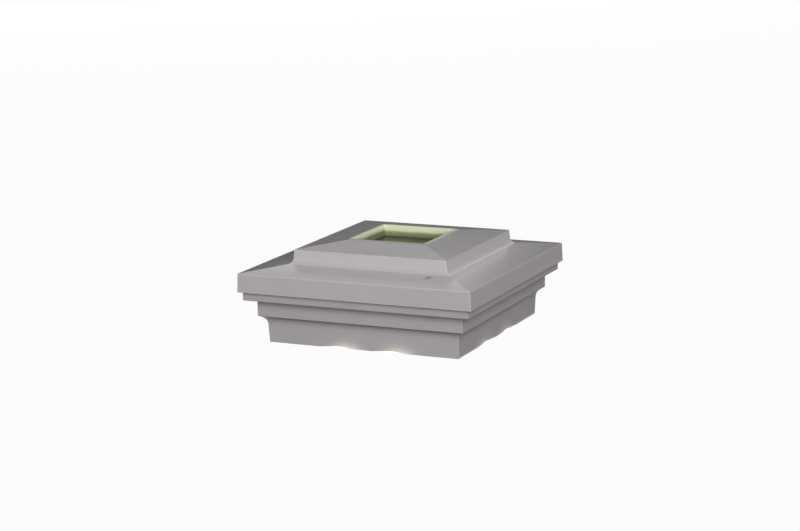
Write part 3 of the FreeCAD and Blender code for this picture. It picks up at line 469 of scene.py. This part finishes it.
def blackMoulding(name):
    finish = Finish(name, srgb(40, 40, 41), 0.5)
    clouds = finish.noise(7 * mm, 3.0)
    finish.feed("Base Color", finish.blend(clouds, srgb(34, 34, 35), srgb(50, 50, 51)))
    finish.feed("Roughness", 0.45 + finish.noise(3 * mm) * 0.14)
    finish.feed("Normal", finish.bump(finish.noise(0.4 * mm, 2.0), 0.02 * mm))
    return finish.material


def softRubber(name, settled=0.0, dust=srgb(56, 55, 53)):
    # black rubber with a pale bloom, and with dust settled on it where it is in the open
    finish = Finish(name, srgb(30, 30, 30), 0.75)
    bloom = finish.noise(3 * mm, 4.0).between(0.4, 0.8)
    finish.feed("Base Color", finish.blend(bloom * 0.5 * (1 - settled) + settled, srgb(26, 26, 27), dust))
    finish.feed("Roughness", 0.68 + bloom * 0.16)
    finish.feed("Normal", finish.bump(finish.noise(0.25 * mm, 2.0), 0.015 * mm))
    return finish.material


def brushedMetal(name, colour, grain=(1.0, 1.0, 8.0), roughness=0.3):
    finish = Finish(name, colour, roughness, 1.0)
    lines = finish.noise(0.35 * mm, 3.0, stretch=grain)
    finish.feed("Base Color", finish.blend(lines, shade(colour, 0.88), shade(colour, 1.08)))
    finish.feed("Roughness", roughness - 0.06 + lines * 0.16)
    finish.feed("Normal", finish.bump(lines, 0.006 * mm))
    return finish.material


def boardLacquer(name, colour):
    # lacquered circuit board: copper tracks show through as lighter lanes
    finish = Finish(name, colour, 0.35, Coat_Weight=0.3, Coat_Roughness=0.15)
    lanes = finish.cells(4.5 * mm, "DISTANCE_TO_EDGE")
    track = 1 - lanes.between(0.03, 0.07)
    weave = finish.noise(0.6 * mm, 2.0)
    shaded = finish.blend(weave, shade(colour, 0.85), shade(colour, 1.1))
    finish.feed("Base Color", finish.blend(track * 0.5, shaded, shade(colour, 1.9)))
    finish.feed("Roughness", 0.30 + weave * 0.12)
    finish.feed("Normal", finish.bump(track, 0.03 * mm))
    return finish.material


def glossyPlastic(name, colour, roughness=0.3, swing=0.06):
    finish = Finish(name, colour, roughness)
    clouds = finish.noise(5 * mm, 3.0)
    finish.feed("Base Color", finish.blend(clouds, shade(colour, 1 - swing), shade(colour, 1 + swing)))
    finish.feed("Roughness", roughness - 0.04 + finish.noise(2 * mm) * 0.10)
    finish.feed("Normal", finish.bump(finish.noise(0.7 * mm, 2.0), 0.01 * mm))
    return finish.material


sleeveBand = 9 * mm  # width of the pale band


def batterySleeve(name, high):
    # shrink sleeve in two plain colours, the pale one at the battery's right end
    finish = Finish(name, srgb(40, 120, 74), 0.28, Coat_Weight=0.2)
    band = finish.axes()[0].between(high - sleeveBand, high - sleeveBand + 0.4 * mm)
    plain = finish.blend(finish.noise(4 * mm), srgb(36, 110, 68), srgb(48, 130, 82))
    finish.feed("Base Color", finish.blend(band, plain, srgb(198, 196, 186)))
    finish.feed("Roughness", 0.26 + finish.noise(2 * mm) * 0.08)
    finish.feed("Normal", finish.bump(finish.noise(1.2 * mm), 0.012 * mm))
    return finish.material


lensLook = {"colour": srgb(240, 236, 218), "roughness": 0.45, "glow": 1.4, "dim": srgb(70, 68, 60)}


def frostedLens(name):
    # frosted strip that glows near the light points
    finish = Finish(name, lensLook["colour"], lensLook["roughness"], IOR=1.49, Transmission_Weight=0.35)
    frost = finish.noise(0.5 * mm, 2.0)
    finish.feed("Base Color", finish.blend(frost, shade(lensLook["colour"], 0.93), lensLook["colour"]))
    finish.lit(finish.blend(nearLights(finish), lensLook["dim"], shade(glow["colour"], lensLook["glow"])))
    finish.feed("Roughness", lensLook["roughness"] - 0.05 + frost * 0.12)
    finish.feed("Normal", finish.bump(frost, 0.02 * mm))
    return finish.material


def phosphorFace(name):
    finish = Finish(name, srgb(240, 214, 120), 0.4)
    finish.feed("Base Color", finish.blend(finish.noise(0.6 * mm), srgb(236, 206, 108), srgb(246, 226, 150)))
    finish.lit(glow["colour"], 2.0)
    finish.feed("Normal", finish.bump(finish.noise(0.3 * mm), 0.01 * mm))
    return finish.material


linerLow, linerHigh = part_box("window_liner")
steel = srgb(196, 194, 190)
finishes = {
    "grey_shell": mouldedGrey("greyRoof", 1.0, roof=True),
    "grey_base": mouldedGrey("greyBase", greyPlastic["baseShadeTone"], base=True),
    "grey_door": mouldedGrey("greyDoor", greyPlastic["doorTone"]),
    "cream_liner": creamLiner("creamLiner", linerLow, linerHigh),
    "panel_face": resinCells("resinFace"),
    "cell_silicon": cellSilicon("oliveCells"),
    "ribbon_metal": brushedMetal("tinnedRibbon", srgb(198, 200, 196), (8.0, 1.0, 1.0), 0.36),
    "dark_board": boardLacquer("darkBoard", srgb(38, 42, 36)),
    "green_board": boardLacquer("greenBoard", srgb(34, 92, 56)),
    "black_moulding": blackMoulding("blackMoulding"),
    "black_rubber": softRubber("softRubber"),
    "battery_sleeve": batterySleeve("batterySleeve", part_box("battery_cell")[1].x),
    "plated_spring": brushedMetal("platedSpring", srgb(206, 204, 198), (1.0, 6.0, 1.0), 0.22),
    "screw_steel": brushedMetal("screwSteel", steel, (1.0, 1.0, 5.0), 0.3),
    "chip_black": glossyPlastic("chipBlack", srgb(32, 32, 33), 0.42, 0.12),
    "inductor_grey": glossyPlastic("inductorGrey", srgb(84, 84, 86), 0.55, 0.15),
    "capacitor_can": brushedMetal("capacitorCan", srgb(205, 206, 208), (1.0, 1.0, 0.2), 0.25),
    "connector_white": glossyPlastic("connectorWhite", srgb(228, 226, 214), 0.35, 0.04),
    "switch_metal": brushedMetal("switchMetal", steel, (6.0, 1.0, 1.0), 0.3),
    "lead_sheath": softRubber("leadSheath"),
    "white_channel": glossyPlastic("whiteChannel", srgb(232, 232, 226), 0.3, 0.03),
    "strip_aluminium": brushedMetal("stripAluminium", srgb(214, 214, 212), (1.0, 1.0, 6.0), 0.34),
    "light_chip": phosphorFace("phosphorFace"),
    "frosted_lens": frostedLens("frostedLens"),
}
print(f"{len(finishes)} finishes made")

slotOf = {row["node"]: row["material_slot"] for row in frame["record"]["subparts"]}
ownFinish = {"panel_gasket": softRubber("dustySeal", 0.75, srgb(150, 152, 118))}  # open at the panel's edge
for nodeName, carried in frame["nodes"].items():
    carried.data.materials.clear()
    carried.data.materials.append(ownFinish.get(nodeName, finishes[slotOf[nodeName]]))
print("the frame's own nodes have their finishes")


# Mouldings with softened edges

edgeWork = {
    # distances within which corners are one, and angles in degrees at which faces count as flat or creased
    "weld": 0.002 * mm, "join": 0.0005 * mm, "hipSlack": 0.02 * mm, "step": 0.05 * mm,
    "flatTurn": 0.6, "softTurn": 25.0, "creaseTurn": 30.0,
}


def wholeFaces(source):
    # welded copy of a node's mesh with its flat faces whole again
    work = bmesh.new()
    work.from_mesh(source.data)
    bmesh.ops.remove_doubles(work, verts=work.verts, dist=edgeWork["weld"])
    bmesh.ops.dissolve_limit(work, angle_limit=math.radians(edgeWork["flatTurn"]), verts=work.verts,
                             edges=work.edges)
    bmesh.ops.recalc_face_normals(work, faces=work.faces)
    return work


def onHip(edge):
    return all(abs(abs(v.co.x) - abs(v.co.y)) < edgeWork["hipSlack"] for v in edge.verts)


def bendsSoftly(face):
    # true for the strips of a cove or a round, which are shaded smooth
    turns = [math.degrees(edge.calc_face_angle(0.0)) for edge in face.edges if not onHip(edge)]
    return any(edgeWork["flatTurn"] < turn < edgeWork["softTurn"] for turn in turns)


def setRounds(piece):
    # keeps the rounded mesh as it is, with the corners joined where two rounds meet
    mesh = bpy.data.meshes.new_from_object(piece.evaluated_get(bpy.context.evaluated_depsgraph_get()))
    piece.modifiers.clear()
    work = bmesh.new()
    work.from_mesh(mesh)
    bmesh.ops.remove_doubles(work, verts=work.verts, dist=edgeWork["join"])
    bmesh.ops.triangulate(work, faces=work.faces)
    work.to_mesh(mesh)
    work.free()
    piece.data = mesh


def softened(nodeName, pieceName, body, width, chosen, segments=3):
    # a copy of the node whose chosen edges are rounded, in place of the node
    work = wholeFaces(frame["nodes"][nodeName])
    weight = work.edges.layers.float.new("bevel_weight_edge")
    for face in work.faces:
        face.smooth = bendsSoftly(face)
    rounded = 0
    for edge in work.edges:
        turn = math.degrees(edge.calc_face_angle(0.0))
        if chosen(edge, turn):
            edge[weight] = 1.0
            rounded += 1
        elif turn > edgeWork["creaseTurn"]:
            edge.smooth = False
    mesh = bpy.data.meshes.new(pieceName)
    work.to_mesh(mesh)
    work.free()
    piece = bpy.data.objects.new(pieceName, mesh)
    bpy.context.scene.collection.objects.link(piece)
    bevel = piece.modifiers.new("softEdges", "BEVEL")
    bevel.limit_method = "WEIGHT"
    bevel.width = width
    bevel.segments = segments
    mesh.materials.append(finishes[slotOf[nodeName]])
    setRounds(piece)
    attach(piece, body)
    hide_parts(nodeName)
    print(f"{pieceName}: {rounded} edges rounded")


roofEdges = {
    "round": 0.6 * mm, "sharpTurn": 25.0, "hipTurn": 5.0,
    # edges nearer the middle than windowReach, and those of the window's rim, stay sharp
    "windowReach": 27.0 * mm, "rimReach": 28.2 * mm,
    # the outside lies no more than depth under the upper slope's line, or past fasciaReach
    "slopeFrom": 27.3 * mm, "fall": 0.132, "depth": 12.6 * mm, "fasciaReach": 81.6 * mm,
}
baseEdges = {"round": 0.55 * mm, "sharpTurn": 25.0, "outsideFrom": 66.0 * mm}
shellLow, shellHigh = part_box("roof_shell")


def reachOut(point):
    return max(abs(point.x), abs(point.y))


def inSteps(length):
    return round(length / edgeWork["step"])


def outsideHeights():
    # heights of the roof's outer surface by distance from the middle, seen from above
    heights = {}
    for v in frame["nodes"]["roof_shell"].data.vertices:
        key = inSteps(reachOut(v.co))
        heights[key] = max(heights.get(key, -1.0), v.co.z)
    return heights


roofTops = outsideHeights()


def onRoofOutside(point):
    out = reachOut(point)
    slope = shellHigh.z - roofEdges["fall"] * (out - roofEdges["slopeFrom"])
    onTop = point.z > roofTops[inSteps(out)] - edgeWork["step"]
    return point.z > slope - roofEdges["depth"] and onTop or out > roofEdges["fasciaReach"]


def roofEdge(edge, turn):
    spots = [v.co for v in edge.verts]
    nearest = min(reachOut(p) for p in spots)
    farthest = max(reachOut(p) for p in spots)
    if nearest < roofEdges["windowReach"] or farthest < roofEdges["rimReach"]:
        return False
    if not all(onRoofOutside(p) for p in spots):
        return False
    return turn > roofEdges["sharpTurn"] or (onHip(edge) and turn > roofEdges["hipTurn"])


def outlineOf(nodeName):
    # how far the node reaches at each height
    reaches = {}
    for v in frame["nodes"][nodeName].data.vertices:
        key = inSteps(v.co.z)
        reaches[key] = max(reaches.get(key, 0.0), reachOut(v.co))
    return reaches


baseOutline = outlineOf("base_moulding")


def onBaseOutside(point):
    out = reachOut(point)
    return (point.z < shellLow.z - edgeWork["step"] and out > baseEdges["outsideFrom"]
            and out > baseOutline[inSteps(point.z)] - edgeWork["step"])


def baseEdge(edge, turn):
    return turn > baseEdges["sharpTurn"] and all(onBaseOutside(v.co) for v in edge.verts)


# the small pieces: piece, body, round, and the angle from which an edge is rounded
smallPieces = {
    "window_liner": ("windowLiner", "cap", 0.18 * mm, 40),
    "battery_door": ("batteryDoor", "door", 0.2 * mm, 60),
    "switch_knob": ("switchKnob", "knob", 0.2 * mm, 40),
}
for side in ("front", "right", "back", "left"):
    smallPieces[f"light_channel_{side}"] = (f"lightChannel_{side}", "cap", 0.2 * mm, 60)
    smallPieces[f"light_lens_{side}"] = (f"lightLens_{side}", "cap", 0.12 * mm, 60)

softened("roof_shell", "roofShell", "cap", roofEdges["round"], roofEdge)
softened("base_moulding", "baseMoulding", "cap", baseEdges["round"], baseEdge)
for nodeName, (pieceName, body, width, leastTurn) in smallPieces.items():
    softened(nodeName, pieceName, body, width, lambda edge, turn: turn > leastTurn, 2)


# Floor, lights and camera

studio = {
    "floorSize": 6.0, "floorColour": srgb(180, 180, 179), "floorLift": 0.965, "fill": 0.07,
    "flagColour": (0.02, 0.02, 0.02, 1.0), "flagAway": 0.6, "flagTurn": 24.0, "flagWidth": 1.8,
    "flagTop": 0.28, "flagFoot": 0.42, "flagLift": 0.2 * mm,
    "cardColour": (0.45, 0.45, 0.45, 1.0), "cardGap": 1 * mm, "cardReach": 0.9, "cardLift": 0.3 * mm,
}
lamps = {
    # a large soft one at the front right, a low one behind, and one for looking from below
    "keyLight": {"power": 117.0, "width": 1.4, "height": 1.8, "away": 3.4, "azimuth": 36.0, "rise": 19.0},
    "backLight": {"power": 26.0, "width": 2.0, "height": 0.6, "away": 2.6, "azimuth": 212.0, "rise": 9.0},
    "underLight": {"power": 30.0, "width": 1.2, "height": 1.2, "away": 2.0, "azimuth": 20.0, "rise": -62.0},
}
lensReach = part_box("light_lens_right")[1].x


def sheetAt(name, corners, finish):
    # a flat four-sided piece of the studio
    mesh = bpy.data.meshes.new(name)
    mesh.from_pydata(corners, [], [(0, 1, 2, 3)])
    mesh.materials.append(finish.material)
    sheet = bpy.data.objects.new(name, mesh)
    bpy.context.scene.collection.objects.link(sheet)
    return sheet


def paleFloor():
    # white where it is seen or mirrored, clear from below, and open under the cap
    finish = Finish("paleFloor", studio["floorColour"], 0.8)
    dim = shade(studio["floorColour"], 0.99)
    finish.feed("Base Color", finish.blend(finish.noise(0.4, 2.0), dim, studio["floorColour"]))
    glowing = finish.add("ShaderNodeEmission", values={"Color": white, "Strength": 1.0})
    shaded = Wire(finish, finish.shader.outputs[0])
    lift = finish.seenOrMirrored() * studio["floorLift"]
    mixed = finish.add("ShaderNodeMixShader", values={0: lift, 1: shaded, 2: glowing})
    below = finish.add("ShaderNodeNewGeometry", output="Backfacing")
    clear = finish.add("ShaderNodeBsdfTransparent")
    mixed = finish.add("ShaderNodeMixShader", values={0: below, 1: mixed, 2: clear})
    output = next(n for n in finish.tree.nodes if n.type == "OUTPUT_MATERIAL")
    finish.tree.links.new(mixed.socket, output.inputs["Surface"])
    far = studio["floorSize"] / 2
    # left, right, front and back of each sheet round the opening
    sheets = {
        "floorFront": (-far, far, -far, -lensReach), "floorBack": (-far, far, lensReach, far),
        "floorLeft": (-far, -lensReach, -lensReach, lensReach),
        "floorRight": (lensReach, far, -lensReach, lensReach),
    }
    for name, (left, right, front, back) in sheets.items():
        sheetAt(name, [(left, front, 0), (right, front, 0), (right, back, 0), (left, back, 0)], finish)


def unseen(card):
    # only mirrored in the object, never seen and casting no shadow
    card.visible_camera = False
    card.visible_diffuse = False
    card.visible_shadow = False
    card.visible_transmission = False


def darkFlag():
    # a low black card behind the cap, with a foot along the floor on its left half: it keeps
    # the far slopes dark
    finish = Finish("darkFlag", studio["flagColour"], 0.9)
    turn = math.radians(studio["flagTurn"])
    away = Vector((-math.sin(turn), math.cos(turn), 0)) * studio["flagAway"]
    along = Vector((math.cos(turn), math.sin(turn), 0)) * studio["flagWidth"] / 2
    up = Vector((0, 0, studio["flagTop"]))
    near = away * (1 - studio["flagFoot"] / studio["flagAway"])
    lift = Vector((0, 0, studio["flagLift"]))
    upright = [away - along, away + along, away + along + up, away - along + up]
    foot = [near - along + lift, near + lift, away + lift, away - along + lift]
    unseen(sheetAt("darkFlag", upright, finish))
    unseen(sheetAt("flagFoot", foot, finish))


def greyCard():
    # lies on the floor to the right, so that the right side mirrors less white
    finish = Finish("greyCard", studio["cardColour"], 0.9)
    near, far, lift = lensReach + studio["cardGap"], studio["cardReach"], studio["cardLift"]
    unseen(sheetAt("greyCard", [(near, -far, lift), (far, -far, lift), (far, far, lift), (near, far, lift)],
                   finish))


def whiteWorld():
    # white where it is seen or mirrored, and a soft fill for everything else
    world = bpy.data.worlds.new("studioWorld")
    world.use_nodes = True
    bpy.context.scene.world = world
    sky = Nodes(world.node_tree)
    back = sky.tree.nodes["Background"]
    back.inputs["Color"].default_value = white
    level = sky.add("ShaderNodeMapRange", values={
        "Value": sky.seenOrMirrored(), "To Min": studio["fill"], "To Max": 1.0})
    sky.tree.links.new(level.socket, back.inputs["Strength"])


def softbox(name, look, aim):
    # a rectangular lamp that isn't mirrored in the object
    lamp = bpy.data.lights.new(name, "AREA")
    lamp.energy = look["power"]
    lamp.shape = "RECTANGLE"
    lamp.size = look["width"]
    lamp.size_y = look["height"]
    spot = around(look["azimuth"], look["rise"], look["away"]) + aim
    box = bpy.data.objects.new(name, lamp)
    bpy.context.scene.collection.objects.link(box)
    box.location = spot
    box.rotation_mode = "QUATERNION"
    box.rotation_quaternion = (aim - spot).to_track_quat("-Z", "Y")
    box.visible_glossy = False


def around(azimuth, elevation, distance):
    # a place at that azimuth from the front towards the right, above the floor
    a, e = math.radians(azimuth), math.radians(elevation)
    return Vector((math.sin(a) * math.cos(e), -math.cos(a) * math.cos(e), math.sin(e))) * distance


middle = (cadLow + cadHigh) / 2
paleFloor()
darkFlag()
greyCard()
whiteWorld()
for lampName, look in lamps.items():
    softbox(lampName, look, middle)
print("floor and lights are up")

cameraView = {
    "azimuth": 24.59, "elevation": 11.92, "roll": -1.115, "distance": 1.4813,
    "aimRight": -3.57 * mm, "aimUp": 41.55 * mm, "focal": 99.47, "sensor": 36.0,
    "nearest": 0.05, "farthest": 20.0,
}


def placeCamera():
    a, e, r = (math.radians(cameraView[k]) for k in ("azimuth", "elevation", "roll"))
    ahead = Vector((-math.sin(a) * math.cos(e), math.cos(a) * math.cos(e), -math.sin(e)))
    right = Vector((math.cos(a), math.sin(a), 0))
    up = right.cross(ahead)
    rightRolled = right * math.cos(r) + up * math.sin(r)
    upRolled = up * math.cos(r) - right * math.sin(r)
    spot = rightRolled * cameraView["aimRight"] + upRolled * cameraView["aimUp"]
    spot -= ahead * cameraView["distance"]
    data = bpy.data.cameras.new("photoCamera")
    data.lens = cameraView["focal"]
    data.sensor_width = cameraView["sensor"]
    data.clip_start = cameraView["nearest"]
    data.clip_end = cameraView["farthest"]
    camera = bpy.data.objects.new("photoCamera", data)
    bpy.context.scene.collection.objects.link(camera)
    turn = Matrix((rightRolled, upRolled, -ahead)).transposed()
    camera.matrix_world = Matrix.Translation(spot) @ turn.to_4x4()
    bpy.context.scene.camera = camera


placeCamera()
bpy.context.scene.view_settings.view_transform = "Standard"
print("camera is placed")
